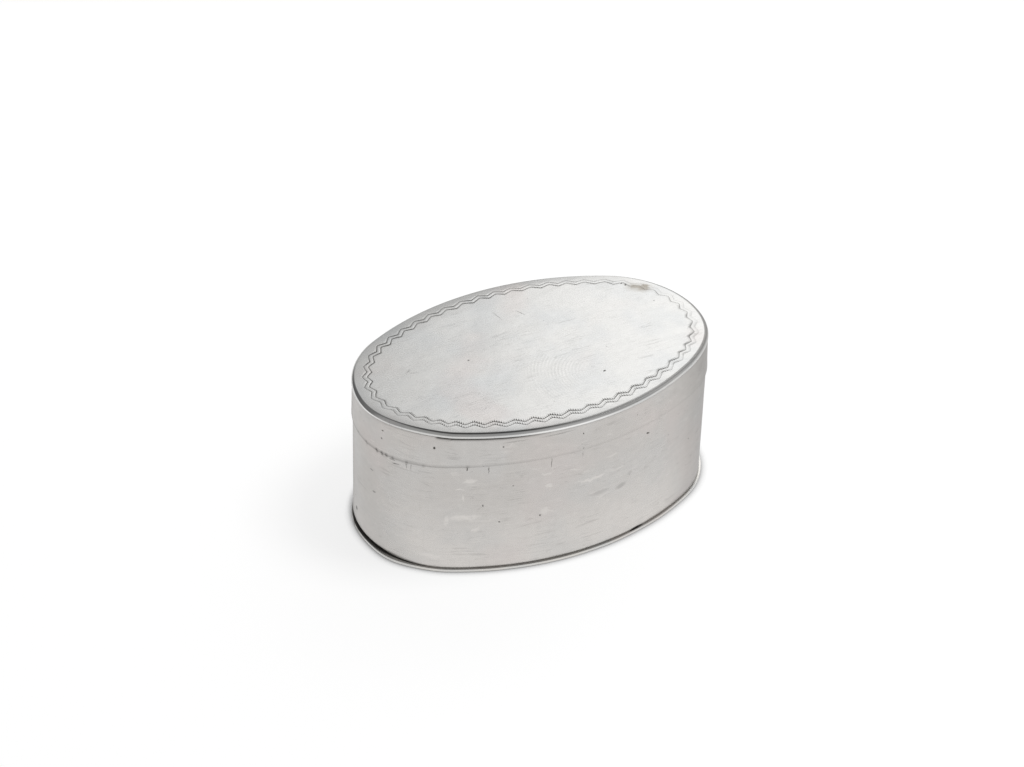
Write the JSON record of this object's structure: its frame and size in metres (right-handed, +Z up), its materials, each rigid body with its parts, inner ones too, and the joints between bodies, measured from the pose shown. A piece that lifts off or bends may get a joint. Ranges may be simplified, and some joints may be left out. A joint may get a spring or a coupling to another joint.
{
  "type": "nutmeg grater",
  "caption": "Small oval silver nutmeg grater box: hinged lid with a wavy engraved border over a pierced steel rasp, a chamber for the nutmeg and a hinged base cover.",
  "frame": {"origin": "middle of the oval, on the underside of the base plate", "axes": "+X along the long axis, +Y towards the hinges at the back, +Z up out of the lid"},
  "size_m": [0.0526, 0.0358, 0.0232],
  "materials": {
    "silver": "worn polished silver",
    "worn_silver": "dull silver, tarnished in the corners",
    "steel": "dark oxidised sheet steel"
  },
  "bodies": {
    "body": {"body_wall": "silver", "mouth_bezel": "worn_silver", "rasp_seat": "worn_silver", "rasp": "steel", "lid_knuckle_1": "worn_silver", "lid_knuckle_3": "worn_silver", "lid_knuckle_5": "worn_silver", "lid_hinge_pin": "worn_silver", "base_knuckle_1": "worn_silver", "base_knuckle_3": "worn_silver", "base_knuckle_5": "worn_silver", "base_hinge_pin": "worn_silver"},
    "lid": {"lid_top": "silver", "lid_skirt": "silver", "lid_knuckle_2": "worn_silver", "lid_knuckle_4": "worn_silver"},
    "base": {"base_plate": "silver", "base_rim": "worn_silver", "base_knuckle_2": "worn_silver", "base_knuckle_4": "worn_silver"}
  },
  "joints": [
    {"name": "lid_hinge", "type": "hinge", "parent": "body", "child": "lid", "pos_m": [0, 0.01796, 0.01773], "axis": [-1, 0, 0], "range_deg": [0, 110]},
    {"name": "base_hinge", "type": "hinge", "parent": "body", "child": "base", "pos_m": [0, 0.01796, 0.00085], "axis": [1, 0, 0], "range_deg": [0, 110]}
  ]
}
